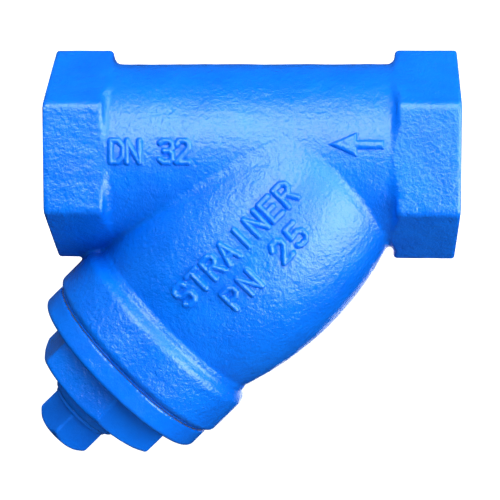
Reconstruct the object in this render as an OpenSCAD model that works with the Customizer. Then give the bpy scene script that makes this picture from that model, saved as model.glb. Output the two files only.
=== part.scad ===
// Y strainer with threaded ends, a screwed cover and a blow-off plug.
// The origin is the centre of the inlet face. +X points out of the inlet,
// +Z points up, and the leg leaves the run downwards, towards the outlet.

/* [Pipe run] */
// Length from the inlet face to the outlet face
run_len = 127; // [120:1:150]
// Width of the hexagonal ends across their flats
end_af = 57.9; // [55:0.1:64]
// Depth turned off the sharp corners of the hexagonal ends
end_corner_cut = 0.5; // [0.1:0.1:2]
// Length of the hexagonal end at the inlet
inlet_end_len = 19.5; // [16:0.1:22]
// Length of the hexagonal end at the outlet
outlet_end_len = 18.4; // [16:0.1:24]
// Depth that the corners of a hexagonal end are turned back at its face
end_chamfer = 0.9; // [0.3:0.1:2]
// Height of the flats above the barrel between the ends
barrel_step = 0.25; // [0.1:0.05:2]
// Thickness of the barrel's cast wall
barrel_wall = 7.2; // [4:0.1:8]

/* [Pipe threads] */
// Wall diameter of the tapped ends, at the crests of the thread
pipe_thread_d = 38.5; // [36:0.1:40]
// Depth of the tapped ends
pipe_thread_len = 20; // [15:0.5:24]

/* [Leg] */
// Angle between the leg and the run
leg_angle = 45; // [42:1:50]
// Distance from the inlet face to where the leg axis crosses the run axis
leg_offset = 36.9; // [34:0.1:42]
// Distance from that crossing to the machined end of the leg
leg_len = 92; // [88:0.5:110]
// Height by which the leg's middle swells beyond its two ends
leg_swell = 5.7; // [3:0.1:8]
// Distance from the crossing to the closed upper end of the leg
leg_top_at = 2.5; // [1:0.1:5]
// Radius that rounds the upper end of the leg
leg_top_round = 5; // [3:0.1:7]
// Thickness of the leg's cast wall
leg_wall = 6; // [4:0.1:7]

/* [Collar] */
// Thickness of the collar about the cover's thread
collar_wall = 6.8; // [5:0.1:9]
// Length of the collar, without its shoulder
collar_len = 14.3; // [10:0.1:18]
// Height of the sloping shoulder between the leg and the collar
shoulder_h = 3.4; // [2:0.1:5]
// Length of the sloping shoulder
shoulder_len = 3.1; // [2:0.1:5]
// Width of the bevel at the open end of the collar
collar_bevel = 1.3; // [0.5:0.1:2]

/* [Partition and screen seat] */
// Distance from the crossing to the upper face of the partition
partition_at = 9; // [8:0.1:11]
// Thickness of the partition
partition_t = 5; // [4:0.1:7]
// Depth of the recess that seats the screen
seat_depth = 2.5; // [1.5:0.1:3]
// Width of the ledge that the screen rests on
seat_ledge = 2.5; // [2:0.1:3]

/* [Screen] */
// Outer diameter of the screen tube
screen_d = 39; // [34:0.1:40]
// Thickness of the screen sheet
screen_t = 0.8; // [0.5:0.1:1.2]
// Thickness of the bands round the ends of the screen
band_t = 1; // [0.6:0.1:1.4]
// Length of each end band
band_len = 6; // [4:0.5:10]

/* [Cover] */
// Depth by which the cover's flange stands back from the collar
flange_step = 1.5; // [0.5:0.1:3]
// Thickness of the flange
flange_t = 7; // [5:0.1:10]
// Radius that rounds the outer rim of the flange
flange_round = 1.2; // [0.5:0.1:2]
// Width of the hexagonal boss across its flats
boss_af = 44.1; // [38:0.1:50]
// Height of the hexagonal boss
boss_h = 12.3; // [9:0.1:16]
// Angle of the chamfer turned on the corners of the boss
boss_chamfer_angle = 25; // [15:1:35]
// Turn of the boss about the leg axis
boss_turn = 19; // [0:1:59]
// Thickness of the round rim about the plug port
port_rim_wall = 2.5; // [2:0.1:4]
// Height of the round rim about the plug port
port_rim_h = 4.6; // [2:0.1:8]
// Radius that rounds the edge of that rim
port_rim_round = 1.4; // [0.5:0.1:1.8]
// Diameter of the thread between cover and body
cover_thread_d = 55; // [50:0.1:58]
// Length of the cover's threaded spigot
cover_thread_len = 13; // [10:0.5:16]
// Length of the body's thread beyond the end of the spigot
thread_runout = 3; // [1:0.5:5]
// Metal left between the screen's pocket and the outer face of the flange
pocket_floor = 2.5; // [2:0.1:5]
// Diameter of the bore that leads from the screen to the plug port
drain_d = 18; // [14:0.1:19]

/* [Gasket] */
// Thickness of the cover gasket
gasket_t = 1; // [0.8:0.1:2]
// Depth by which the gasket stands back from the flange
gasket_inset = 0.8; // [0.3:0.1:1.5]
// Radial clearance between the gasket and the spigot
gasket_gap = 0.4; // [0.2:0.1:1]

/* [Blow-off plug] */
// Wall diameter of the plug port
port_d = 20; // [19.5:0.1:21]
// Length of the plug's threaded shank
plug_thread_len = 14; // [12:0.5:16]
// Thickness of the sealing tape round the shank
tape_t = 0.2; // [0.1:0.05:0.4]
// Margin of the round neck beyond the port and the corners of the head
plug_neck_lip = 0.1; // [0.1:0.05:1]
// Length of the round neck
plug_neck_len = 1.3; // [0.5:0.1:4]
// Width of the square head across its flats
plug_af = 15; // [13:0.1:17]
// Height of the square head
plug_head_h = 10.2; // [8:0.1:14]
// Angle of the chamfer turned on the end of the head
plug_chamfer_angle = 35; // [20:1:40]
// Turn of the square head about the leg axis
plug_turn = 6.6; // [0:0.2:89.8]

/* [Flow arrow] */
// Length of the raised arrow
arrow_len = 18.5; // [14:0.5:24]
// Width of the arrow's head
arrow_head_w = 7.5; // [6:0.1:12]
// Length of the arrow's head
arrow_head_len = 8.3; // [5:0.1:11]
// Width of the arrow's shaft
arrow_shaft_w = 2.7; // [2:0.1:4]
// Height of the arrow above the barrel
arrow_h = 0.9; // [0.5:0.1:1.2]
// Distance from the inlet face to the arrow's tip
arrow_tip_at = 40; // [36:0.5:60]
// Height of the arrow's middle above the run axis
arrow_z = 4.5; // [0:0.5:10]

/* [Fits] */
// Radial clearance of each screwed pair
thread_gap = 0.05; // [0.02:0.01:0.1]
// Radial clearance round the screen's end bands
screen_gap = 0.25; // [0.1:0.05:0.5]

/* [Hidden] */

CURVE = 96;
SWELL_CURVE = 240;
CUT = 1;
PAINT_BLUE = [0.02, 0.22, 0.92];
STEEL = [0.72, 0.73, 0.75];
GASKET_GREY = [0.2, 0.21, 0.22];
TAPE_WHITE = [0.93, 0.93, 0.9];

// Pipe run
end_sharp_r = end_af / 2 / cos(30);
end_corner_r = end_sharp_r - end_corner_cut;
barrel_r = end_af / 2 - barrel_step;

// Leg, along its axis from where it crosses the run axis. One arc swells it
// from the round of its upper end to the shoulder.
cover_thread_r = cover_thread_d / 2;
collar_r = cover_thread_r + collar_wall;
collar_at = leg_len - collar_len;
shoulder_at = collar_at - shoulder_len;
neck_r = collar_r - shoulder_h;
top_round_at = leg_top_at + leg_top_round;
widest_at = (top_round_at + shoulder_at) / 2;
half_swell = (shoulder_at - top_round_at) / 2;
swell_arc_r = (pow(half_swell, 2) + pow(leg_swell, 2)) / 2 / leg_swell;
swell_centre_r = neck_r + leg_swell - swell_arc_r;
top_round_r = swell_centre_r
    + sqrt(pow(swell_arc_r - leg_top_round, 2) - pow(half_swell, 2));
top_tangent_at = widest_at - half_swell * swell_arc_r / (swell_arc_r - leg_top_round);

// Cover, along the leg
flange_at = leg_len + gasket_t;
flange_end = flange_at + flange_t;
flange_r = collar_r - flange_step;
gasket_r = flange_r - gasket_inset;
boss_end = flange_end + boss_h;
rim_end = boss_end + port_rim_h;
boss_corner_r = boss_af / 2 / cos(30);
boss_chamfer = (boss_corner_r - boss_af / 2) * tan(boss_chamfer_angle);
spigot_end = leg_len - cover_thread_len;
undercut_at = spigot_end - thread_runout;

// Screen, along the leg
partition_end = partition_at + partition_t;
seat_at = partition_end - seat_depth;
screen_end = flange_end - pocket_floor;
screen_r = screen_d / 2;
band_r = screen_r + band_t;
pocket_r = band_r + screen_gap;

// Plug, along the leg
port_r = port_d / 2;
port_rim_r = port_r + port_rim_wall;
tape_r = port_r - thread_gap;
shank_r = tape_r - tape_t - thread_gap;
shank_from = rim_end - plug_thread_len;
head_at = rim_end + plug_neck_len;
head_end = head_at + plug_head_h;
plug_corner_r = plug_af * sqrt(2) / 2;
plug_neck_r = max(port_r, plug_corner_r) + plug_neck_lip;
plug_chamfer = (plug_corner_r - plug_af / 2) * tan(plug_chamfer_angle);

// Places children on the leg axis, with +Z along it and away from the run
module along_leg() {
    translate([-leg_offset, 0, 0]) rotate([0, 180 + leg_angle, 0]) children();
}

// A round bar along +Z, between two distances
module rod(r, from, to) {
    translate([0, 0, from]) cylinder(r = r, h = to - from, $fn = CURVE);
}

module tube(r_out, r_in, from, to) {
    difference() {
        rod(r_out, from, to);
        rod(r_in, from - CUT, to + CUT);
    }
}

// A prism along +Z whose corners are turned back to a cone at its far end
module turned_prism(sides, corner_r, from, to, chamfer) {
    flat_r = corner_r * cos(180 / sides);
    intersection() {
        translate([0, 0, from]) cylinder(r = corner_r, h = to - from, $fn = sides);
        rotate_extrude($fn = CURVE)
            polygon([[0, from], [corner_r, from], [corner_r, to - chamfer], [flat_r, to], [0, to]]);
    }
}

// Turns +Z to -X, so that a distance along +Z is a distance from the inlet face
module from_inlet() {
    rotate([0, -90, 0]) children();
}

module from_outlet() {
    translate([-run_len, 0, 0]) rotate([0, 90, 0]) children();
}

// A hexagonal bar turned down to the barrel between its ends
module run() {
    barrel_from = inlet_end_len;
    barrel_to = run_len - outlet_end_len;
    intersection() {
        cylinder(r = end_sharp_r, h = run_len, $fn = 6);
        rotate_extrude($fn = CURVE)
            polygon([[0, 0], [end_af / 2, 0], [end_corner_r, end_chamfer],
                     [end_corner_r, barrel_from], [barrel_r, barrel_from],
                     [barrel_r, barrel_to], [end_corner_r, barrel_to],
                     [end_corner_r, run_len - end_chamfer], [end_af / 2, run_len], [0, run_len]]);
    }
}

module leg_profile() {
    intersection() {
        translate([swell_centre_r, widest_at]) circle(r = swell_arc_r, $fn = SWELL_CURVE);
        translate([0, top_tangent_at]) square([leg_len, collar_at - top_tangent_at]);
    }
    translate([0, leg_top_at]) square([top_round_r, leg_top_round]);
    translate([top_round_r, top_round_at]) circle(r = leg_top_round, $fn = CURVE);
    polygon([[0, shoulder_at], [neck_r, shoulder_at], [collar_r, collar_at],
             [collar_r, leg_len - collar_bevel], [collar_r - collar_bevel, leg_len],
             [0, leg_len]]);
}

// The cast cavity of the leg, one wall inside its outer arc
module cavity_profile() {
    intersection() {
        translate([swell_centre_r, widest_at])
            circle(r = swell_arc_r - leg_wall, $fn = SWELL_CURVE);
        translate([0, partition_end]) square([leg_len, leg_len - partition_end]);
    }
}

// Points along -X, the way the flow goes, on both sides of the barrel
module flow_arrow() {
    head_at_x = -arrow_tip_at + arrow_head_len;
    tail_at_x = -arrow_tip_at + arrow_len;
    intersection() {
        translate([0, end_af, arrow_z]) rotate([90, 0, 0]) linear_extrude(2 * end_af)
            polygon([[-arrow_tip_at, 0], [head_at_x, -arrow_head_w / 2],
                     [head_at_x, -arrow_shaft_w / 2], [tail_at_x, -arrow_shaft_w / 2],
                     [tail_at_x, arrow_shaft_w / 2], [head_at_x, arrow_shaft_w / 2],
                     [head_at_x, arrow_head_w / 2]]);
        from_inlet() rod(barrel_r + arrow_h, 0, run_len);
    }
}

module strainer_body() {
    color(PAINT_BLUE) difference() {
        union() {
            from_inlet() run();
            along_leg() rotate_extrude($fn = CURVE) leg_profile();
            flow_arrow();
        }
        difference() {
            union() {
                from_inlet() rod(barrel_r - barrel_wall, pipe_thread_len, run_len - pipe_thread_len);
                along_leg() rotate_extrude($fn = CURVE) cavity_profile();
            }
            along_leg() rod(leg_len, partition_at, partition_end);
        }
        from_inlet() rod(pipe_thread_d / 2, -CUT, pipe_thread_len + CUT);
        from_outlet() rod(pipe_thread_d / 2, -CUT, pipe_thread_len + CUT);
        along_leg() {
            rod(pocket_r - seat_ledge, partition_at - CUT, partition_end);
            rod(pocket_r, seat_at, leg_len);
            rod(cover_thread_r, undercut_at, leg_len + CUT);
        }
    }
}

// A disc along +Z with a rounded edge at its far end
module rounded_disc(r, from, to, round_r) {
    rotate_extrude($fn = CURVE) {
        translate([0, from]) square([r - round_r, to - from]);
        translate([0, from]) square([r, to - from - round_r]);
        translate([r - round_r, to - round_r]) circle(r = round_r, $fn = CURVE);
    }
}

module cover() {
    color(PAINT_BLUE) along_leg() difference() {
        union() {
            rod(cover_thread_r - thread_gap, spigot_end, flange_end);
            rounded_disc(flange_r, flange_at, flange_end, flange_round);
            rotate(boss_turn) turned_prism(6, boss_corner_r, flange_at, boss_end, boss_chamfer);
            rounded_disc(port_rim_r, flange_at, rim_end, port_rim_round);
        }
        rod(pocket_r, spigot_end - CUT, screen_end);
        rod(drain_d / 2, screen_end - CUT, shank_from);
        rod(port_r, shank_from - CUT, rim_end + CUT);
    }
}

module cover_gasket() {
    color(GASKET_GREY) along_leg()
        tube(gasket_r, cover_thread_r + gasket_gap, leg_len, flange_at);
}

module screen_tube() {
    color(STEEL) along_leg() tube(screen_r, screen_r - screen_t, seat_at, screen_end);
}

module screen_top_band() {
    color(STEEL) along_leg() tube(band_r, screen_r, seat_at, seat_at + band_len);
}

module screen_bottom_band() {
    color(STEEL) along_leg() tube(band_r, screen_r, screen_end - band_len, screen_end);
}

module blow_off_plug() {
    color(PAINT_BLUE) along_leg() {
        rod(shank_r, shank_from, head_at);
        rod(plug_neck_r, rim_end, head_at);
        rotate(plug_turn) turned_prism(4, plug_corner_r, rim_end, head_end, plug_chamfer);
    }
}

module thread_seal_tape() {
    color(TAPE_WHITE) along_leg() tube(tape_r, tape_r - tape_t, shank_from, rim_end);
}

strainer_body();
cover();
cover_gasket();
screen_tube();
screen_top_band();
screen_bottom_band();
blow_off_plug();
thread_seal_tape();
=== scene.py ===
import math

import bmesh
import bpy
import numpy as np
import openvdb
from mathutils import Matrix, Vector


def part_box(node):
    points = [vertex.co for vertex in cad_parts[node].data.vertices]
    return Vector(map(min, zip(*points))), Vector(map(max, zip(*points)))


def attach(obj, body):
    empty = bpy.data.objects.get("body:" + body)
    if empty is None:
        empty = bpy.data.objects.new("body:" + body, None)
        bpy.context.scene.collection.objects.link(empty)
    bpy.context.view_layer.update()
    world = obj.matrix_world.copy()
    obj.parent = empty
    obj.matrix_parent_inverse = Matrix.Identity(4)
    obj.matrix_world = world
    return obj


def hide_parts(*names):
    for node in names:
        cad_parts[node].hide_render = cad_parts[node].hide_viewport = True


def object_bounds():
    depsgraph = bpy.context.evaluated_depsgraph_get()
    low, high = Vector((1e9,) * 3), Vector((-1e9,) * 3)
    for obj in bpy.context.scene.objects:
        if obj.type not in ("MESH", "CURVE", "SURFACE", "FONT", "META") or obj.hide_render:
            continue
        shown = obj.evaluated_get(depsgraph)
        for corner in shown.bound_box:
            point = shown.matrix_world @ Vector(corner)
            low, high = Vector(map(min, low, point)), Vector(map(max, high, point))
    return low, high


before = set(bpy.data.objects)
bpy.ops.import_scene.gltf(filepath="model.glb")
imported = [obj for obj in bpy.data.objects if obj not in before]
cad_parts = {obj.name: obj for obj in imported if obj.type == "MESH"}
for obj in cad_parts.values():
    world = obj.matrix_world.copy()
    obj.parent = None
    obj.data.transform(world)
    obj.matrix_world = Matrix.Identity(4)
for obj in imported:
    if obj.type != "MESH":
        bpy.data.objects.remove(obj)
cad_low, cad_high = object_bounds()

# All modelling sizes below are in millimetres, in the frame's own axes
MM = 0.001

# Pipe run, along -X from the inlet face
RUN_LEN = -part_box("strainer_body")[0].x / MM
END_AF = 57.9
END_CORNER_ROUND = 3.0
INLET_END = 19.5
OUTLET_END = RUN_LEN - 18.4
BARREL_R = END_AF / 2 - 0.25
BARREL_WALL = 7.2
BARREL_INSET = 2
END_FACE_ROUND = 0.9
END_BACK_ROUND = 1.4
END_FILLET = 2.4
PIPE_THREAD_LEN = 20
PIPE_CREST_R = 19.25
PIPE_ROOT_R = 20.6
PIPE_PITCH = 2.209
PIPE_MOUTH_DEPTH = 2.2

# Leg, along its axis from where it crosses the run axis
LEG_OFFSET = 36.9
LEG_LEN = 92
COVER_THREAD_R = 27.5
COLLAR_R = COVER_THREAD_R + 6.8
COLLAR_AT = LEG_LEN - 14.3
COLLAR_BEVEL = 1.3
SHOULDER_H = 3.4
SHOULDER_LEN = 3.1
SHOULDER_AT = COLLAR_AT - SHOULDER_LEN
SHOULDER_ROUND = 0.9
BEVEL_ROUND = 0.5
COLLAR_FACE_ROUND = 0.3
NECK_R = COLLAR_R - SHOULDER_H
LEG_SWELL = 5.7
LEG_TOP = 2.5
LEG_TOP_ROUND = 5
LEG_WALL = 6
STEP_H = 0.8
STEP_ROUND = 0.4
STEP_FILLET = 0.5
NECK_FILLET = 0.9
DOME_FILLET = 1.5
SINK = 2
WIDEST_AT = (LEG_TOP + LEG_TOP_ROUND + SHOULDER_AT) / 2
HALF_SWELL = (SHOULDER_AT - LEG_TOP - LEG_TOP_ROUND) / 2
SWELL_R = (HALF_SWELL ** 2 + LEG_SWELL ** 2) / 2 / LEG_SWELL
SWELL_CENTRE = NECK_R + LEG_SWELL - SWELL_R

# Inside the leg
PARTITION = (9, 14)
SEAT_AT = PARTITION[1] - 2.5
SEAT_LEDGE = 2.5
CAVITY_ROUND = 1.5
CAVITY_FILLET = 3
UNDERCUT_AT = 76
UNDERCUT_GAP = 0.2
SPIGOT_END = 79
THREAD_GAP = 0.05
THREAD_DEPTH = 1.15
COVER_PITCH = 2.0
COVER_MOUTH = (1.3, 2.3)

# Cover, along the leg
FLANGE_AT = LEG_LEN + 1
FLANGE_END = FLANGE_AT + 7
FLANGE_R = COLLAR_R - 1.5
FLANGE_ROUND = 1.3
FLANGE_BACK_ROUND = 0.5
BOSS_AF = 44.1
BOSS_FROM = FLANGE_AT + 1
BOSS_END = FLANGE_END + 12.3
BOSS_TURN = math.radians(19)
BOSS_CHAMFER = math.radians(25)
BOSS_CHAMFER_ROUND = 0.7
BOSS_CORNER_ROUND = 0.9
BOSS_END_ROUND = 0.6
BOSS_FILLET = 1.3
PORT_R = 10
PORT_MOUTH = (0.7, 1.1)
RIM_END = BOSS_END + 4.6
RIM_R = PORT_R + 2.5
RIM_ROUND = 1.4
RIM_FILLET = 1.1
DRAIN_R = 9

# Screen, gasket, tape and plug, along the leg
SCREEN_R = 19.5
SCREEN_T = 0.8
SCREEN_END = FLANGE_END - 2.5
HOLES_ROUND = 42
BAND_R = SCREEN_R + 1
BAND_LEN = 6
BAND_BEAD = 0.35
BAND_DIP = 0.25
POCKET_R = BAND_R + 0.25
GASKET_R = FLANGE_R - 0.8
GASKET_BORE_R = COVER_THREAD_R + 0.4
GASKET_BULGE = 0.12
GASKET_GAP = 0.02
SHANK_FROM = RIM_END - 14
TAPE_R = PORT_R - THREAD_GAP
TAPE_BORE_R = TAPE_R - 0.2
TAPE_STEP = 0.07
SHANK_R = TAPE_BORE_R - THREAD_GAP
PLUG_PITCH = 1.814
PLUG_AF = 15
PLUG_NECK_R = PLUG_AF * math.sqrt(2) / 2 + 0.1
PLUG_TURN = math.radians(6.6)
NECK_ROUND = 0.3
NECK_FOOT_ROUND = 0.15
HEAD_FROM = RIM_END + 0.4
HEAD_AT = RIM_END + 1.3
HEAD_END = HEAD_AT + 10.2
HEAD_CHAMFER = math.radians(35)
HEAD_CHAMFER_ROUND = 0.6
HEAD_CORNER_ROUND = 0.9
HEAD_END_ROUND = 0.5
HEAD_FILLET = 0.35

# Grid cells of the skins
BODY_CELL, CAVITY_CELL, COVER_CELL, PLUG_CELL = 0.7, 1.2, 0.5, 0.3

# Roughness of the castings: height, size of the lumps and seed of each layer
BODY_CAST = ((0.08, 10, 3), (0.05, 4, 5), (0.03, 1.9, 8))
CAVITY_CAST = ((0.2, 5, 11),)
COVER_CAST = ((0.06, 7, 21), (0.03, 3, 22))
PLUG_CAST = ((0.05, 5, 31), (0.02, 2, 32))
STREAK_H, STREAK_SIZE, STREAK_SEED, STREAK_STRETCH = 0.1, 1.7, 9, (0.3, 1, 1)

SLOPE = math.sqrt(0.5)
LEG_FRAME = Matrix(((-SLOPE, 0, -SLOPE, -LEG_OFFSET), (0, 1, 0, 0),
                    (SLOPE, 0, -SLOPE, 0), (0, 0, 0, 1)))
INLET_FRAME = Matrix(((0, 0, -1, 0), (0, 1, 0, 0), (1, 0, 0, 0), (0, 0, 0, 1)))
OUTLET_FRAME = Matrix(((0, 0, 1, -RUN_LEN), (0, 1, 0, 0), (-1, 0, 0, 0), (0, 0, 0, 1)))


# ---- distance fields ----

def fuse(a, b, r):
    """Union of two solids with a fillet of radius r."""
    overlap = np.hypot(np.maximum(r - a, 0), np.maximum(r - b, 0))
    return np.maximum(r, np.minimum(a, b)) - overlap


def clip(a, b, r):
    """What two solids share, with the edge between them rounded to radius r."""
    overlap = np.hypot(np.maximum(r + a, 0), np.maximum(r + b, 0))
    return np.minimum(-r, np.maximum(a, b)) + overlap


def hexagon(x, y, apothem, corner_round):
    """Distance to a hexagon with corners toward x and flats toward y."""
    inner = apothem - corner_round
    x, y = np.abs(x), np.abs(y)
    c, s, t = -math.sqrt(3) / 2, 0.5, 1 / math.sqrt(3)
    fold = 2 * np.minimum(c * x + s * y, 0)
    x, y = x - fold * c, y - fold * s
    x = x - np.clip(x, -t * inner, t * inner)
    y = y - inner
    return np.hypot(x, y) * np.sign(y) - corner_round


def turned(x, y, angle):
    c, s = math.cos(angle), math.sin(angle)
    return x * c + y * s, y * c - x * s


def chamfer(r, s, edge_r, end, slope):
    """A cone that cuts the corners of a head back from its end."""
    return (r - edge_r) * math.sin(slope) + (s - end) * math.cos(slope)


def leg_axes(x, y, z):
    """Distance along the leg axis, across it in the run's plane, and from it."""
    along = -(x + LEG_OFFSET + z) * SLOPE
    across = (x + LEG_OFFSET - z) * SLOPE
    return along, across, np.hypot(across, y)


def body_field(p):
    x, y, z = p
    end_hex = hexagon(z, y, END_AF / 2, END_CORNER_ROUND)
    r = np.hypot(y, z)
    inlet = clip(clip(end_hex, x, END_FACE_ROUND), -x - INLET_END, END_BACK_ROUND)
    outlet = clip(clip(end_hex, -x - RUN_LEN, END_FACE_ROUND), x + OUTLET_END, END_BACK_ROUND)
    length = np.maximum(x + BARREL_INSET, -x - RUN_LEN + BARREL_INSET)
    barrel = np.maximum(r - BARREL_R, length)
    run = np.maximum(fuse(np.minimum(inlet, outlet), barrel, END_FILLET), end_hex)
    s, _, leg_r = leg_axes(x, y, z)
    swell = np.hypot(leg_r - SWELL_CENTRE, s - WIDEST_AT) - SWELL_R
    swell = clip(swell, LEG_TOP - s, LEG_TOP_ROUND)
    swell = np.maximum(swell, s - COLLAR_AT - SINK)
    tilt = math.hypot(SHOULDER_H, SHOULDER_LEN)
    shoulder = ((leg_r - NECK_R) * SHOULDER_LEN - (s - SHOULDER_AT) * SHOULDER_H) / tilt
    collar = clip(leg_r - COLLAR_R, shoulder, SHOULDER_ROUND)
    bevel = (leg_r - COLLAR_R + s - LEG_LEN + COLLAR_BEVEL) * SLOPE
    collar = clip(collar, bevel, BEVEL_ROUND)
    collar = clip(collar, s - LEG_LEN, COLLAR_FACE_ROUND)
    step = clip(leg_r - NECK_R - STEP_H, SHOULDER_AT - STEP_H - s, STEP_ROUND)
    step = np.maximum(step, s - LEG_LEN + SINK)
    leg = fuse(swell, fuse(collar, step, STEP_FILLET), NECK_FILLET)
    return fuse(run, leg, DOME_FILLET)


def cavity_field(p):
    x, y, z = p
    s, _, leg_r = leg_axes(x, y, z)
    bore = np.hypot(y, z) - (BARREL_R - BARREL_WALL)
    length = np.maximum(x + PIPE_THREAD_LEN, -x - RUN_LEN + PIPE_THREAD_LEN)
    bore = clip(bore, length, CAVITY_ROUND)
    leg = np.hypot(leg_r - SWELL_CENTRE, s - WIDEST_AT) - SWELL_R + LEG_WALL
    leg = clip(leg, np.maximum(PARTITION[1] - s, s - LEG_LEN), CAVITY_ROUND)
    wall = np.minimum(s - PARTITION[0], PARTITION[1] - s)
    return clip(fuse(bore, leg, CAVITY_FILLET), wall, CAVITY_ROUND)


def cover_field(p):
    x, y, s = p
    r = np.hypot(x, y)
    flange = clip(r - FLANGE_R, s - FLANGE_END, FLANGE_ROUND)
    flange = clip(flange, FLANGE_AT - s, FLANGE_BACK_ROUND)
    boss = hexagon(*turned(x, y, BOSS_TURN), BOSS_AF / 2, BOSS_CORNER_ROUND)
    boss = clip(boss, s - BOSS_END, BOSS_END_ROUND)
    boss = clip(boss, chamfer(r, s, BOSS_AF / 2, BOSS_END, BOSS_CHAMFER), BOSS_CHAMFER_ROUND)
    boss = np.maximum(boss, BOSS_FROM - s)
    rim = np.maximum(clip(r - RIM_R, s - RIM_END, RIM_ROUND), BOSS_FROM - s)
    return fuse(fuse(flange, boss, BOSS_FILLET), rim, RIM_FILLET)


def plug_field(p):
    x, y, s = p
    r = np.hypot(x, y)
    neck = clip(r - PLUG_NECK_R, s - HEAD_AT, NECK_ROUND)
    neck = clip(neck, RIM_END - s, NECK_FOOT_ROUND)
    side_a, side_b = (np.abs(side) - PLUG_AF / 2
                      for side in turned(x, y, PLUG_TURN + math.radians(45)))
    head = clip(clip(side_a, side_b, HEAD_CORNER_ROUND), s - HEAD_END, HEAD_END_ROUND)
    head = clip(head, chamfer(r, s, PLUG_AF / 2, HEAD_END, HEAD_CHAMFER), HEAD_CHAMFER_ROUND)
    head = np.maximum(head, HEAD_FROM - s)
    return fuse(neck, head, HEAD_FILLET)


# ---- meshes ----

def skin(field, low, high, cell):
    """The surface of a distance field, as points and quads facing outward."""
    counts = [int(math.ceil((b - a) / cell)) + 1 for a, b in zip(low, high)]
    axes = [a + cell * np.arange(n) for a, n in zip(low, counts)]
    grid = np.meshgrid(*[a.astype(np.float32) for a in axes], indexing="ij", sparse=True)
    values = np.array(np.broadcast_to(field(grid), counts), np.float32, order="C")
    volume = openvdb.FloatGrid(background=float(values.max()))
    volume.copyFromArray(values)
    points, quads = volume.convertToQuads(0.0)
    points = points.astype(float) * cell + np.array(low)
    a, b, c, d = (points[quads[:, k]] for k in range(4))
    facing = np.einsum("ij,ij->", np.cross(c - a, d - b), (a + b + c + d) / 4)
    if facing < 0:
        quads = quads[:, ::-1]
    return points, quads


def slope_of(field, points, reach=0.05):
    """Value and unit gradient of a field."""
    steps = np.eye(3) * reach
    slope = np.stack([field((points + e).T) - field((points - e).T) for e in steps], 1)
    slope /= 2 * reach
    return field(points.T), slope / np.maximum(np.linalg.norm(slope, axis=1), 1e-6)[:, None]


def settle(field, points, rounds=2, furthest=0.6):
    """Moves points onto the surface, and gives the surface's normals there."""
    for _ in range(rounds):
        value, normal = slope_of(field, points)
        points = points - normal * np.clip(value, -furthest, furthest)[:, None]
    return points, normal


def relax(field, points, quads, rounds=4, pull=0.5):
    """Evens out the quads, and keeps the points on the surface."""
    ends = np.concatenate([quads[:, [k, (k + 1) % 4]] for k in range(4)])
    count = np.bincount(ends[:, 0], minlength=len(points))[:, None]
    for _ in range(rounds):
        total = np.stack([np.bincount(ends[:, 0], points[ends[:, 1], k], len(points))
                          for k in range(3)], 1)
        points = points + pull * (total / np.maximum(count, 1) - points)
        points = settle(field, points, 1)[0]
    return points


def new_object(name, points, faces, placed=None):
    """A mesh object in metres. Points are in millimetres, in the frame placed gives."""
    if isinstance(faces, np.ndarray):
        faces = faces.tolist()
    mesh = bpy.data.meshes.new(name)
    mesh.from_pydata(np.asarray(points, float).tolist(), [], faces)
    if placed is not None:
        mesh.transform(placed)
    mesh.transform(Matrix.Scale(MM, 4))
    mesh.update()
    obj = bpy.data.objects.new(name, mesh)
    bpy.context.scene.collection.objects.link(obj)
    return obj


def carve(obj, tools, operation="DIFFERENCE"):
    """Applies a boolean with each tool in turn, and removes the tools."""
    for tool in tools:
        modifier = obj.modifiers.new("carve", "BOOLEAN")
        modifier.operation = operation
        modifier.solver = "MANIFOLD"
        modifier.object = tool
        graph = bpy.context.evaluated_depsgraph_get()
        made = bpy.data.meshes.new_from_object(obj.evaluated_get(graph))
        obj.modifiers.clear()
        old = obj.data
        obj.data = made
        made.name = obj.name
        bpy.data.meshes.remove(old)
        bpy.data.objects.remove(tool)


def ring_of(r, z, sides):
    angles = (2 * math.pi * j / sides for j in range(sides))
    return [(r * math.cos(a), r * math.sin(a), z) for a in angles]


def lathe(profile, sides=128, ring=False):
    """A closed solid turned about Z. A profile that isn't a ring starts and ends on the axis."""
    body = profile if ring else profile[1:-1]
    angle = np.arange(sides) * 2 * math.pi / sides
    points, faces = [], []
    for r, z in body:
        points += [(r * math.cos(a), r * math.sin(a), z) for a in angle]
    rows = len(body)
    for i in range(rows if ring else rows - 1):
        k = (i + 1) % rows
        for j in range(sides):
            n = (j + 1) % sides
            faces.append((i * sides + j, i * sides + n, k * sides + n, k * sides + j))
    if not ring:
        for row, (_, z), flip in ((0, profile[0], True), (rows - 1, profile[-1], False)):
            points.append((0, 0, z))
            for j in range(sides):
                n = (j + 1) % sides
                one = (row * sides + j, row * sides + n, len(points) - 1)
                faces.append(one[::-1] if flip else one)
    return points, faces


def rod(r, start, end, sides=128):
    return lathe([(0, start), (r, start), (r, end), (0, end)], sides)


def thread_shape(share):
    """Height of the thread, from 0 at the root to 1 at the crest, over one pitch."""
    steepness, root_flat = 1.3, 0.1
    flank = 1 - abs(share - 0.5) * 2
    return min(1, max(0, flank * steepness - root_flat))


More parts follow.
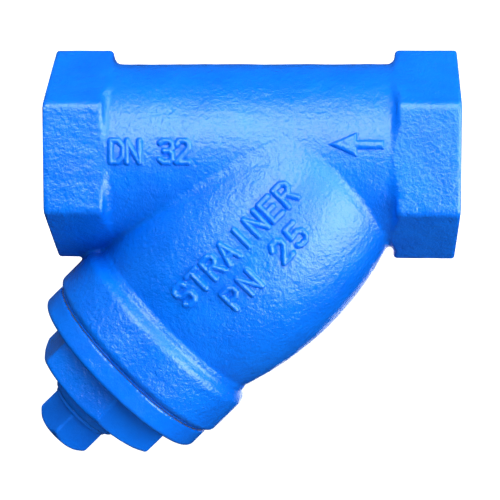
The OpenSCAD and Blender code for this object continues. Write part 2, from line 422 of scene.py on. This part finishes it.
def threaded(crest_r, root_r, pitch, start, end, sides=96, steps=8):
    """A closed rod along Z with one helical thread. A bore's cutter has its root outside."""
    rows = int(round((end - start) / pitch * steps)) + 1
    points, faces = [], []
    for i in range(rows):
        r = root_r + (crest_r - root_r) * thread_shape((i % steps) / steps)
        for j in range(sides):
            a = 2 * math.pi * j / sides
            z = start + pitch * (i / steps + j / sides)
            points.append((r * math.cos(a), r * math.sin(a), z))

    def index(i, j):
        """One turn round the rod is one pitch along it."""
        return (i + steps) * sides if j == sides else i * sides + j

    last = rows - 1 - steps
    for i in range(rows - 1):
        for j in range(sides):
            if j == sides - 1 and i >= last:
                continue
            faces.append((index(i, j), index(i, j + 1), index(i + 1, j + 1), index(i + 1, j)))
    foot = [index(0, j) for j in range(sides)] + [index(i, 0) for i in range(steps, 0, -1)]
    points.append((0, 0, start))
    faces += [(foot[k], len(points) - 1, foot[(k + 1) % len(foot)]) for k in range(len(foot))]
    top = [index(rows - 1, j) for j in range(sides)]
    top += [index(i, sides - 1) for i in range(rows - 2, last - 1, -1)]
    points.append((0, 0, start + pitch * ((rows - 1) / steps + 1)))
    faces += [(top[k], top[(k + 1) % len(top)], len(points) - 1) for k in range(len(top))]
    return points, faces


def soften(obj, degrees):
    """Smooth shading, with the edges sharper than this kept."""
    for polygon in obj.data.polygons:
        polygon.use_smooth = True
    obj.data.set_sharp_from_angle(angle=math.radians(degrees))


# ---- surface detail ----

def lumps(points, size, seed, side=32):
    """Smooth noise from -1 to 1 with lumps of this size."""
    table = np.random.default_rng(seed).uniform(-1, 1, (side, side, side))
    q = points / size
    base = np.floor(q).astype(int)
    f = q - base
    f = f * f * (3 - 2 * f)
    total = 0
    for i in (0, 1):
        for j in (0, 1):
            for k in (0, 1):
                weight = ((f[:, 0] if i else 1 - f[:, 0]) * (f[:, 1] if j else 1 - f[:, 1])
                          * (f[:, 2] if k else 1 - f[:, 2]))
                x, y, z = ((base + (i, j, k)) % side).T
                total = total + weight * table[x, y, z]
    return total


def cast_roughness(points, layers):
    return sum(height * lumps(points, size, seed) for height, size, seed in layers)


def ramp(value, low, high):
    t = np.clip((value - low) / (high - low), 0, 1)
    return t * t * (3 - 2 * t)


# Strokes of each character, in a box 0.6 wide and 1 high
STROKES = {
    "S": [[(.6, .85), (.45, 1), (.15, 1), (0, .85), (0, .66), (.12, .54), (.48, .46), (.6, .34),
           (.6, .15), (.45, 0), (.15, 0), (0, .15)]],
    "T": [[(0, 1), (.6, 1)], [(.3, 1), (.3, 0)]],
    "R": [[(0, 0), (0, 1), (.42, 1), (.6, .87), (.6, .65), (.42, .5), (0, .5)],
          [(.3, .5), (.6, 0)]],
    "A": [[(0, 0), (.3, 1), (.6, 0)], [(.1, .33), (.5, .33)]],
    "I": [[(.3, 0), (.3, 1)]],
    "N": [[(0, 0), (0, 1), (.6, 0), (.6, 1)]],
    "E": [[(.58, 0), (0, 0), (0, 1), (.58, 1)], [(0, .52), (.46, .52)]],
    "P": [[(0, 0), (0, 1), (.42, 1), (.6, .87), (.6, .63), (.42, .48), (0, .48)]],
    "D": [[(0, 0), (0, 1), (.35, 1), (.6, .75), (.6, .25), (.35, 0), (0, 0)]],
    "2": [[(0, .8), (.15, 1), (.45, 1), (.6, .85), (.6, .64), (0, 0), (.6, 0)]],
    "3": [[(0, .9), (.15, 1), (.45, 1), (.6, .87), (.6, .66), (.45, .53), (.22, .53)],
          [(.45, .53), (.6, .4), (.6, .15), (.45, 0), (.15, 0), (0, .12)]],
    "5": [[(.57, 1), (.05, 1), (0, .56), (.4, .6), (.6, .44), (.6, .15), (.42, 0), (.12, 0),
           (0, .1)]],
    " ": [],
}

# Raised marks: text, height, pitch, and where the foot of the first letter stands,
# which on the leg is in millimetres along it and degrees round it
LEG_MARKS = (("STRAINER", 6.6, 6.15, 63.6, -1.2), ("PN 25", 6.6, 6.7, 53.5, 16.6))
BARREL_MARK = ("DN 32", 6.4, 5.0, -106.2, -1.0)
MARK_H = 1.15
STROKE_R = 1.0
MARK_MARGIN = 2
LAST_MARGIN = 1
LEG_SKIN_R, LEG_SKIN_BAND = 35, 4
LEG_MARKS_FROM, LEG_MARKS_TO = 10, 70
BARREL_SIDE = 20

# Flow arrow, which points to the outlet
ARROW_TIP_X, ARROW_Z = -39.7, 4.4
ARROW_LEN, ARROW_HEAD_LEN = 16.4, 8.2
ARROW_HEAD_HALF, ARROW_SHAFT_HALF = 3.5, 1.2
ARROW_SHAFT_FROM = 3
ARROW_EDGE = 0.15
ARROW_REACH_X, ARROW_REACH_Z = 21, 6


def from_segment(x, y, a, b):
    dx, dy = b[0] - a[0], b[1] - a[1]
    t = np.clip(((x - a[0]) * dx + (y - a[1]) * dy) / (dx * dx + dy * dy), 0, 1)
    return np.hypot(x - a[0] - t * dx, y - a[1] - t * dy)


def from_text(x, y, text, height, pitch):
    """Distance from the middle of the strokes of a line of text that starts at (0, 0)."""
    best = np.full(np.shape(x), np.inf)
    for n, letter in enumerate(text):
        for stroke in STROKES[letter]:
            line = [(n * pitch + a * height, b * height) for a, b in stroke]
            for a, b in zip(line, line[1:]):
                best = np.minimum(best, from_segment(x, y, a, b))
    return best


def inside_arrow(x, z):
    """Distance into the arrow's outline, which points to -X with its tip at x = 0."""
    lean = math.hypot(ARROW_HEAD_HALF, ARROW_HEAD_LEN)
    head = (x * ARROW_HEAD_HALF - np.abs(z) * ARROW_HEAD_LEN) / lean
    head = np.minimum(head, ARROW_HEAD_LEN - x)
    shaft = np.minimum(x - ARROW_SHAFT_FROM, ARROW_LEN - x)
    shaft = np.minimum(ARROW_SHAFT_HALF - np.abs(z), shaft)
    return np.maximum(head, shaft)


def bead(distance):
    """Height of a rounded stroke at a distance from its middle."""
    return MARK_H * np.clip(1 - (distance / STROKE_R) ** 2, 0, 1) ** 0.65


def marks(points):
    """Height of the raised marks over the casting, and where they are or nearly are."""
    x, y, z = points.T
    s, across, leg_r = leg_axes(x, y, z)
    phi = np.degrees(np.arctan2(across, -y))
    high, near = np.zeros(len(points)), np.zeros(len(points), bool)

    def write(where, along, up, text, height, pitch):
        pick = (where & (up > -MARK_MARGIN) & (up < height + MARK_MARGIN)
                & (along > -MARK_MARGIN) & (along < len(text) * pitch + LAST_MARGIN))
        near[pick] = True
        high[pick] = np.maximum(
            high[pick], bead(from_text(along[pick], up[pick], text, height, pitch)))

    on_leg = ((np.abs(leg_r - LEG_SKIN_R) < LEG_SKIN_BAND) & (y < 0)
              & (s > LEG_MARKS_FROM) & (s < LEG_MARKS_TO))
    for text, height, pitch, first_s, foot_phi in LEG_MARKS:
        write(on_leg, first_s - s, np.radians(foot_phi - phi) * leg_r, text, height, pitch)
    on_barrel = (np.abs(y) > BARREL_SIDE) & (np.hypot(y, z) < BARREL_R + MARK_MARGIN)
    text, height, pitch, first_x, foot_z = BARREL_MARK
    write(on_barrel & (y < 0), x - first_x, z - foot_z, text, height, pitch)
    pick = (on_barrel & (np.abs(z - ARROW_Z) < ARROW_REACH_Z)
            & (x > ARROW_TIP_X - MARK_MARGIN) & (x < ARROW_TIP_X + ARROW_REACH_X))
    near[pick] = True
    depth = inside_arrow(x[pick] - ARROW_TIP_X, z[pick] - ARROW_Z) + ARROW_EDGE
    high[pick] = bead(np.maximum(STROKE_R - depth, 0))
    return high, near


def subdivide_near(points, quads, test, cuts):
    """Splits the quads that the test picks, and keeps the mesh closed."""
    bm = bmesh.new()
    vertices = [bm.verts.new(p) for p in points]
    for q in quads:
        bm.faces.new([vertices[i] for i in q])
    bm.faces.ensure_lookup_table()
    chosen = np.nonzero(test(points[quads].mean(1)))[0]
    edges = {e for i in chosen for e in bm.faces[i].edges}
    bmesh.ops.subdivide_edges(bm, edges=list(edges), cuts=cuts, use_grid_fill=True)
    bmesh.ops.triangulate(bm, faces=[f for f in bm.faces if len(f.verts) > 4])
    bm.verts.index_update()
    points = np.array([v.co for v in bm.verts], float)
    faces = [[v.index for v in f.verts] for f in bm.faces]
    bm.free()
    return points, faces


# ---- materials ----

def nodes_of(name):
    material = bpy.data.materials.new(name)
    material.use_nodes = True
    tree = material.node_tree
    shader = tree.nodes["Principled BSDF"]
    coordinates = tree.nodes.new("ShaderNodeTexCoord")
    return material, tree, shader, coordinates.outputs["Object"]


def noise(tree, vector, scale, detail=3.0, roughness=0.55, stretch=None):
    node = tree.nodes.new("ShaderNodeTexNoise")
    node.inputs["Scale"].default_value = scale
    node.inputs["Detail"].default_value = detail
    node.inputs["Roughness"].default_value = roughness
    if stretch:
        mapping = tree.nodes.new("ShaderNodeMapping")
        mapping.inputs["Scale"].default_value = stretch
        tree.links.new(vector, mapping.inputs["Vector"])
        vector = mapping.outputs["Vector"]
    tree.links.new(vector, node.inputs["Vector"])
    return node.outputs["Fac"]


def spread(tree, value, low, high, start=0.3, end=0.7):
    """Takes start to low and end to high."""
    node = tree.nodes.new("ShaderNodeMapRange")
    node.inputs["From Min"].default_value = start
    node.inputs["From Max"].default_value = end
    node.inputs["To Min"].default_value = low
    node.inputs["To Max"].default_value = high
    tree.links.new(value, node.inputs["Value"])
    return node.outputs["Result"]


def colour_from(tree, shader, value, stops):
    node = tree.nodes.new("ShaderNodeValToRGB")
    for element, (at, colour) in zip(node.color_ramp.elements, stops):
        element.position = at
        element.color = (*colour, 1)
    tree.links.new(value, node.inputs["Fac"])
    tree.links.new(node.outputs["Color"], shader.inputs["Base Color"])


def roughness_from(tree, shader, value, low, high):
    tree.links.new(spread(tree, value, low, high), shader.inputs["Roughness"])


def bumps(tree, shader, heights):
    """Chains bump nodes, each with a height in millimetres."""
    normal = None
    for value, height in heights:
        node = tree.nodes.new("ShaderNodeBump")
        node.inputs["Distance"].default_value = height * MM
        tree.links.new(value, node.inputs["Height"])
        if normal is not None:
            tree.links.new(normal, node.inputs["Normal"])
        normal = node.outputs["Normal"]
    tree.links.new(normal, shader.inputs["Normal"])


def epoxy(name, grain):
    """Glossy paint over a casting. grain scales how rough the casting is."""
    material, tree, shader, at = nodes_of(name)
    colour_from(tree, shader, noise(tree, at, 70, 4),
                [(0.3, (0.0003, 0.17, 0.76)), (0.7, (0.001, 0.208, 0.85))])
    roughness_from(tree, shader, noise(tree, at, 260, 3), 0.13, 0.25)
    shader.inputs["IOR"].default_value = 1.52
    shader.inputs["Specular IOR Level"].default_value = 0.95
    pits = tree.nodes.new("ShaderNodeTexVoronoi")
    pits.inputs["Scale"].default_value = 420
    tree.links.new(at, pits.inputs["Vector"])
    bumps(tree, shader, [
        (noise(tree, at, 230, 3, 0.6), 0.34 * grain),
        (noise(tree, at, 700, 3, 0.6), 0.29 * grain),
        (noise(tree, at, 1700, 2, 0.6), 0.15 * grain),
        (spread(tree, pits.outputs["Distance"], 0, 1, 0.05, 0.35), 0.07 * grain),
    ])
    return material


def machined_iron():
    material, tree, shader, at = nodes_of("machined_iron")
    colour_from(tree, shader, noise(tree, at, 300, 4),
                [(0.3, (0.27, 0.26, 0.25)), (0.7, (0.44, 0.43, 0.41))])
    roughness_from(tree, shader, noise(tree, at, 900, 3), 0.34, 0.54)
    shader.inputs["Metallic"].default_value = 0.6
    bumps(tree, shader, [(noise(tree, at, 1500, 3), 0.03)])
    return material


def stainless():
    material, tree, shader, at = nodes_of("stainless_steel")
    colour_from(tree, shader, noise(tree, at, 120, 3),
                [(0.3, (0.60, 0.60, 0.60)), (0.7, (0.74, 0.73, 0.72))])
    roughness_from(tree, shader, noise(tree, at, 60, 4, 0.6, (1, 14, 1)), 0.28, 0.44)
    shader.inputs["Metallic"].default_value = 0.8
    bumps(tree, shader, [(noise(tree, at, 400, 3, 0.6, (1, 10, 1)), 0.02)])
    return material


def gasket_fibre():
    material, tree, shader, at = nodes_of("gasket_fibre")
    fibres = noise(tree, at, 500, 5, 0.7, (1, 1, 5))
    colour_from(tree, shader, fibres,
                [(0.35, (0.02, 0.022, 0.025)), (0.7, (0.07, 0.072, 0.075))])
    roughness_from(tree, shader, noise(tree, at, 900, 3), 0.6, 0.85)
    bumps(tree, shader, [(fibres, 0.08)])
    return material


def ptfe():
    material, tree, shader, at = nodes_of("ptfe_tape")
    folds = noise(tree, at, 350, 4, 0.6, (1, 1, 3))
    colour_from(tree, shader, folds, [(0.3, (0.74, 0.74, 0.71)), (0.7, (0.88, 0.88, 0.86))])
    roughness_from(tree, shader, folds, 0.4, 0.6)
    shader.inputs["Subsurface Weight"].default_value = 0.15
    shader.inputs["Subsurface Scale"].default_value = 0.4 * MM
    bumps(tree, shader, [(folds, 0.07)])
    return material


def strength_by_ray(tree, socket, lit, seen):
    """One strength for the light that reaches the object, and one for what the camera sees."""
    path = tree.nodes.new("ShaderNodeLightPath")
    tree.links.new(spread(tree, path.outputs["Is Camera Ray"], lit, seen, 0, 1), socket)


def backdrop(name, grey, glow):
    """A plain floor that glows only to the camera, so that it stays white."""
    material, tree, shader, at = nodes_of(name)
    colour_from(tree, shader, noise(tree, at, 3, 2),
                [(0.3, (grey * 0.985,) * 3), (0.7, (grey,) * 3)])
    shader.inputs["Roughness"].default_value = 0.9
    shader.inputs["Emission Color"].default_value = (1, 1, 1, 1)
    strength_by_ray(tree, shader.inputs["Emission Strength"], 0, glow)
    return material


EPOXY, SMOOTH_EPOXY = epoxy("blue_epoxy", 1.0), epoxy("blue_epoxy_smooth", 0.4)
IRON, STEEL = machined_iron(), stainless()
FIBRE, PTFE = gasket_fibre(), ptfe()


def finish_piece(obj, body, node, slot, *materials):
    obj.data.materials.clear()
    for material in materials:
        obj.data.materials.append(material)
    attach(obj, body)
    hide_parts(node)


def paint_faces(obj, test):
    """Gives the faces that the test picks the object's second material."""
    centres = np.zeros(len(obj.data.polygons) * 3)
    obj.data.polygons.foreach_get("center", centres)
    picked = test(*(centres.reshape(-1, 3) / MM).T)
    obj.data.polygons.foreach_set("material_index", picked.astype(np.int32))


# ---- strainer body ----

def body_shell():
    """The outside of the casting, with its raised marks."""
    points, quads = skin(body_field, (-RUN_LEN - 1.5, -39, -92), (1.5, 39, 35), BODY_CELL)
    points = relax(body_field, points, quads)
    points, faces = subdivide_near(points, quads, lambda c: marks(c)[1], 2)
    points, normal = settle(body_field, points)
    x, y, _ = points.T
    s, _, leg_r = leg_axes(*points.T)
    off_leg = 3 * (leg_r > COLLAR_R + 1)
    from_face = np.minimum(np.minimum(LEG_LEN - s + off_leg, -x), x + RUN_LEN)
    streaks = (ramp(-x, OUTLET_END + 1, OUTLET_END + 4)
               * lumps(points * STREAK_STRETCH, STREAK_SIZE, STREAK_SEED))
    cast = (cast_roughness(points, BODY_CAST)
            + STREAK_H * streaks * (np.abs(y) > BARREL_R - 1))
    height = marks(points)[0] + ramp(from_face, 0.1, 1.6) * cast
    points = points + normal * height[:, None]
    points[:, 0] = np.clip(points[:, 0], -RUN_LEN, 0)
    return new_object("strainer_body_casting", points, faces)


def body_cutters():
    points, quads = skin(cavity_field, (-RUN_LEN, -33, -95), (0, 33, 25), CAVITY_CELL)
    points, normal = settle(cavity_field, points)
    points = points + normal * cast_roughness(points, CAVITY_CAST)[:, None]
    tools = [new_object("cavity", points, quads)]
    mouth = [(0, -2), (PIPE_ROOT_R + 2.7, -2), (PIPE_CREST_R, PIPE_MOUTH_DEPTH),
             (0, PIPE_MOUTH_DEPTH)]
    for placed in (INLET_FRAME, OUTLET_FRAME):
        tap = threaded(PIPE_CREST_R, PIPE_ROOT_R, PIPE_PITCH, -2 * PIPE_PITCH, PIPE_THREAD_LEN)
        tools.append(new_object("mouth", *lathe(mouth), placed))
        tools.append(new_object("tap", *tap, placed))
    depth, flare = COVER_MOUTH
    undercut_r = COVER_THREAD_R + THREAD_DEPTH + UNDERCUT_GAP
    for name, shape in (
            ("seat_bore", rod(POCKET_R - SEAT_LEDGE, PARTITION[0] - 3, PARTITION[1] + 1)),
            ("seat", rod(POCKET_R, SEAT_AT, LEG_LEN)),
            ("undercut", rod(undercut_r, UNDERCUT_AT, SPIGOT_END)),
            ("tap", threaded(COVER_THREAD_R, COVER_THREAD_R + THREAD_DEPTH, COVER_PITCH,
                             SPIGOT_END - 2, LEG_LEN + 2)),
            ("mouth", lathe([(0, LEG_LEN - depth), (COVER_THREAD_R, LEG_LEN - depth),
                             (COVER_THREAD_R + flare, LEG_LEN + 1), (0, LEG_LEN + 1)]))):
        tools.append(new_object(name, *shape, LEG_FRAME))
    return tools


def build_body():
    body = body_shell()
    carve(body, body_cutters())
    finish_piece(body, "body", "strainer_body", "blue_epoxy", EPOXY, IRON)

    def machined(x, y, z):
        s, _, leg_r = leg_axes(x, y, z)
        tapped = ((np.hypot(y, z) < PIPE_ROOT_R + 0.8)
                  & ((x > -PIPE_THREAD_LEN) | (x < PIPE_THREAD_LEN - RUN_LEN)))
        screwed = ((leg_r < COVER_THREAD_R + 1.8) & (leg_r > COVER_THREAD_R - 0.2)
                   & (s > UNDERCUT_AT - 0.1))
        seat = ((leg_r < POCKET_R + 0.1) & (s > PARTITION[0] - 0.1)
                & (s < PARTITION[1] + 0.1))
        return tapped | screwed | seat

    paint_faces(body, machined)
    soften(body, 40)


# ---- cover, gasket, screen, plug and tape ----

def build_cover():
    points, quads = skin(cover_field, (-35, -35, FLANGE_AT - 1.5), (35, 35, RIM_END + 1.5),
                         COVER_CELL)
    points = relax(cover_field, points, quads)
    points, normal = settle(cover_field, points)
    rough = ramp(points[:, 2] - FLANGE_AT, 0.1, 1.2)
    points = points + normal * (rough * cast_roughness(points, COVER_CAST))[:, None]
    cover = new_object("cover_casting", points, quads, LEG_FRAME)
    male_r = COVER_THREAD_R - THREAD_GAP
    root_r = male_r - THREAD_DEPTH
    spigot = new_object("spigot", *threaded(male_r, root_r, COVER_PITCH,
                                            SPIGOT_END - 4, FLANGE_AT + 4), LEG_FRAME)
    trim = [(0, SPIGOT_END), (root_r, SPIGOT_END), (male_r + 1, SPIGOT_END + 2),
            (male_r + 1, FLANGE_AT + 2), (0, FLANGE_AT + 2)]
    carve(spigot, [new_object("trim", *lathe(trim), LEG_FRAME)], "INTERSECT")
    carve(cover, [spigot], "UNION")
    depth, flare = PORT_MOUTH
    carve(cover, [new_object(name, *shape, LEG_FRAME) for name, shape in (
        ("pocket", rod(POCKET_R, SPIGOT_END - 1, SCREEN_END)),
        ("drain", rod(DRAIN_R, SCREEN_END - 1, SHANK_FROM + 1, 96)),
        ("port", threaded(PORT_R, PORT_R + THREAD_DEPTH, PLUG_PITCH, SHANK_FROM, RIM_END + 2)),
        ("port_mouth", lathe([(0, RIM_END - depth), (PORT_R, RIM_END - depth),
                              (PORT_R + flare, RIM_END + 0.6), (0, RIM_END + 0.6)])),
    )])
    finish_piece(cover, "cover", "cover", "blue_epoxy", SMOOTH_EPOXY, IRON)

    def machined(x, y, z):
        s, _, leg_r = leg_axes(x, y, z)
        return (s < FLANGE_AT + 0.05) | ((leg_r < PORT_R + 1.3) & (s < RIM_END - 0.1))

    paint_faces(cover, machined)
    soften(cover, 40)


def build_gasket():
    """A flat ring, pressed out a little and painted over at its rim."""
    edge, corner, dip = 0.15, 0.2, 0.03
    middle = (LEG_LEN + FLANGE_AT) / 2
    low, high = LEG_LEN + GASKET_GAP, FLANGE_AT - GASKET_GAP
    profile = [(GASKET_BORE_R, low + edge), (GASKET_BORE_R + edge, low),
               (GASKET_R - corner, low), (GASKET_R - dip, low + corner),
               (GASKET_R + GASKET_BULGE, middle), (GASKET_R - dip, high - corner),
               (GASKET_R - corner, high), (GASKET_BORE_R + edge, high),
               (GASKET_BORE_R, high - edge)]
    gasket = new_object("cover_gasket_ring", *lathe(profile, 160, True), LEG_FRAME)
    finish_piece(gasket, "gasket", "cover_gasket", "gasket_fibre", FIBRE, SMOOTH_EPOXY)
    paint_faces(gasket, lambda x, y, z: leg_axes(x, y, z)[2] > GASKET_R - 0.3)
    soften(gasket, 50)


def build_screen():
    """A sheet of staggered round holes, rolled into a tube.

    Places round the tube are counted in quarters of the pitch between holes.
    """
    r_out, r_in = SCREEN_R, SCREEN_R - SCREEN_T
    pitch = 2 * math.pi * SCREEN_R / HOLES_ROUND
    row_step = pitch * math.sqrt(3) / 2
    margin = BAND_LEN - 1.2
    start, end = SEAT_AT + margin, SCREEN_END - margin
    rows = int((end - start) / row_step) - 1
    first = (start + end) / 2 - (rows - 1) * row_step / 2
    hole_r = 0.29 * pitch
    corner = pitch / math.sqrt(3)
    around = 4 * HOLES_ROUND
    points, faces, known = [], [], {}

    def vertex(column, z, r):
        key = (round(column * 8) % (around * 8), round(z, 3), r)
        if key not in known:
            a = 2 * math.pi * column / around
            known[key] = len(points)
            points.append((r * math.cos(a), r * math.sin(a), z))
        return known[key]

    def cell(column, z):
        """A hexagon of the sheet with a hole in its middle."""
        rim, hole = [], []
        for k in range(12):
            a = math.radians(90 + 30 * k)
            reach = corner if k % 2 == 0 else pitch / 2
            rim.append((column + reach * math.cos(a) / pitch * 4, z + reach * math.sin(a)))
            hole.append((column + hole_r * math.cos(a) / pitch * 4, z + hole_r * math.sin(a)))
        for k in range(12):
            n = (k + 1) % 12
            quad = (rim[k], rim[n], hole[n], hole[k])
            o = [vertex(*q, r_out) for q in quad]
            i = [vertex(*q, r_in) for q in quad]
            faces.extend((tuple(o), tuple(i[::-1]), (o[3], o[2], i[2], i[3])))

    for row in range(rows):
        for column in range(HOLES_ROUND):
            cell(4 * column + 2 * (row % 2), first + row * row_step)

    for row, edge, up in ((rows - 1, SCREEN_END, 1), (0, SEAT_AT, -1)):
        z = first + row * row_step
        line = []
        for column in range(HOLES_ROUND):
            base = 4 * column + 2 * (row % 2)
            line += [(base - 2, z + up * corner / 2), (base - 1, z + up * corner * 0.75),
                     (base, z + up * corner), (base + 1, z + up * corner * 0.75)]
        for k in range(len(line)):
            a, b = line[k], line[(k + 1) % len(line)]
            next_column = b[0] if b[0] > a[0] else b[0] + around
            quad = (a, (next_column, b[1]), (next_column, edge), (a[0], edge))
            o = [vertex(*q, r_out) for q in quad]
            i = [vertex(*q, r_in) for q in quad]
            for face in (tuple(o), tuple(i[::-1]), (o[3], o[2], i[2], i[3])):
                faces.append(face if up > 0 else face[::-1])
    screen = new_object("screen_tube_perforated", points, faces, LEG_FRAME)
    finish_piece(screen, "screen", "screen_tube", "stainless_steel", STEEL)
    soften(screen, 40)


def build_band(name, node, low, high):
    """A strip with a rolled bead along both edges."""
    profile = [(SCREEN_R, low), (BAND_R - BAND_BEAD, low), (BAND_R - 0.1, low + 0.1),
               (BAND_R, low + BAND_BEAD), (BAND_R, low + 0.9), (BAND_R - BAND_DIP, low + 1.3),
               (BAND_R - BAND_DIP, high - 1.3), (BAND_R, high - 0.9),
               (BAND_R, high - BAND_BEAD), (BAND_R - 0.1, high - 0.1),
               (BAND_R - BAND_BEAD, high), (SCREEN_R, high)]
    band = new_object(name, *lathe(profile, 128, True), LEG_FRAME)
    finish_piece(band, "screen", node, "stainless_steel", STEEL)
    soften(band, 30)


def build_plug():
    points, quads = skin(plug_field, (-12, -12, RIM_END - 0.9), (12, 12, HEAD_END + 0.9),
                         PLUG_CELL)
    points = relax(plug_field, points, quads)
    points, normal = settle(plug_field, points)
    rough = ramp(points[:, 2] - RIM_END, 0.1, 0.6)
    points = points + normal * (rough * cast_roughness(points, PLUG_CAST))[:, None]
    plug = new_object("blow_off_plug_casting", points, quads, LEG_FRAME)
    root_r = SHANK_R - THREAD_DEPTH
    shank = new_object("shank", *threaded(SHANK_R, root_r, PLUG_PITCH,
                                          SHANK_FROM - 4, RIM_END + 4, 72), LEG_FRAME)
    trim = [(0, SHANK_FROM), (root_r, SHANK_FROM), (SHANK_R + 0.5, SHANK_FROM + 1.6),
            (SHANK_R + 0.5, RIM_END + 0.6), (0, RIM_END + 0.6)]
    carve(shank, [new_object("trim", *lathe(trim, 96), LEG_FRAME)], "INTERSECT")
    carve(plug, [shank], "UNION")
    finish_piece(plug, "plug", "blow_off_plug", "blue_epoxy", SMOOTH_EPOXY, IRON)
    paint_faces(plug, lambda x, y, z: leg_axes(x, y, z)[0] < RIM_END - 0.01)
    soften(plug, 40)


def build_tape():
    """A sleeve with the overlaps of the wraps."""
    turns, rows, sides = 4, 56, 96
    points, faces = [], []
    for k in range(rows + 1):
        z = SHANK_FROM + (RIM_END - SHANK_FROM) * k / rows
        for j in range(sides):
            a = 2 * math.pi * j / sides
            r = TAPE_R - TAPE_STEP * ((k / rows * turns + j / sides) % 1)
            points.append((r * math.cos(a), r * math.sin(a), z))
    points += ring_of(TAPE_BORE_R, RIM_END, sides) + ring_of(TAPE_BORE_R, SHANK_FROM, sides)
    for k in range(rows + 3):
        n = (k + 1) % (rows + 3)
        for j in range(sides):
            m = (j + 1) % sides
            faces.append((k * sides + j, k * sides + m, n * sides + m, n * sides + j))
    tape = new_object("thread_seal_tape_wrap", points, faces, LEG_FRAME)
    finish_piece(tape, "seal", "thread_seal_tape", "ptfe_tape", PTFE)
    soften(tape, 50)


build_body()
build_cover()
build_gasket()
build_screen()
build_band("screen_top_band_rolled", "screen_top_band", SEAT_AT, SEAT_AT + BAND_LEN)
build_band("screen_bottom_band_rolled", "screen_bottom_band", SCREEN_END - BAND_LEN, SCREEN_END)
build_plug()
build_tape()

# ---- floor, lights and camera ----

# The floor lies this many times the object's diagonal below it and reaches this many out
FLOOR_DROP, FLOOR_REACH = 4.5, 40
FLOOR_GREY, FLOOR_GLOW = 0.16, 1.15
SKY_LIT, SKY_SEEN = 0.07, 1.4

# Azimuth, where 0 is the camera's side and 90 the inlet's, elevation, distance, width,
# height and watts. A fill lights the surfaces and doesn't show in their gloss.
SOFTBOXES = {
    "key": (-4, 37, 0.6, 0.48, 0.54, 3.1),
    "right": (58, -8, 0.5, 0.56, 0.5, 3.7),
    "right_high": (76, 46, 0.5, 0.34, 0.34, 1.1),
    "low_back": (180, -14, 0.8, 0.5, 0.2, 0.7),
    "fill_top": (-35, 58, 0.7, 0.8, 0.8, 2.8),
    "fill_front": (10, -20, 0.7, 0.8, 0.8, 1.8),
    "fill_back": (190, 25, 0.7, 0.8, 0.8, 3.2),
}

CAMERA_AT = Vector((-36.04, -554.37, 25.99)) * MM
CAMERA_AIM = Vector((-65.24, 0, -30.59)) * MM
CAMERA_LENS = 125.24
VIEW_GAMMA = 0.85

scene = bpy.context.scene
centre = (cad_low + cad_high) / 2
size = (cad_high - cad_low).length
floor_z = (cad_low.z - FLOOR_DROP * size) / MM
half = FLOOR_REACH * size / MM
floor = new_object("studio_floor", [(x, y, floor_z) for x, y in (
    (-half, -half), (half, -half), (half, half), (-half, half))], [(0, 1, 2, 3)])
floor.data.materials.append(backdrop("pale_floor", FLOOR_GREY, FLOOR_GLOW))

for name, (azimuth, elevation, distance, width, height, watts) in SOFTBOXES.items():
    a, e = math.radians(azimuth), math.radians(elevation)
    data = bpy.data.lights.new(name, "AREA")
    data.shape = "RECTANGLE"
    data.size, data.size_y = width, height
    data.energy = watts
    light = bpy.data.objects.new(name, data)
    away = Vector((math.sin(a) * math.cos(e), -math.cos(a) * math.cos(e), math.sin(e)))
    light.location = centre + away * distance
    light.visible_camera = False
    light.visible_glossy = not name.startswith("fill")
    light.rotation_mode = "QUATERNION"
    light.rotation_quaternion = (-away).to_track_quat("-Z", "Y")
    scene.collection.objects.link(light)

world = bpy.data.worlds.new("studio")
world.use_nodes = True
sky = world.node_tree.nodes["Background"]
sky.inputs["Color"].default_value = (1, 1, 1, 1)
strength_by_ray(world.node_tree, sky.inputs["Strength"], SKY_LIT, SKY_SEEN)
scene.world = world
scene.view_settings.view_transform = "Standard"
scene.view_settings.gamma = VIEW_GAMMA

camera_data = bpy.data.cameras.new("camera")
camera_data.lens = CAMERA_LENS
camera_data.clip_start, camera_data.clip_end = 0.01, 60
camera = bpy.data.objects.new("camera", camera_data)
camera.location = CAMERA_AT
camera.rotation_mode = "QUATERNION"
camera.rotation_quaternion = (CAMERA_AIM - CAMERA_AT).to_track_quat("-Z", "Y")
scene.collection.objects.link(camera)
bpy.context.scene.camera = camera
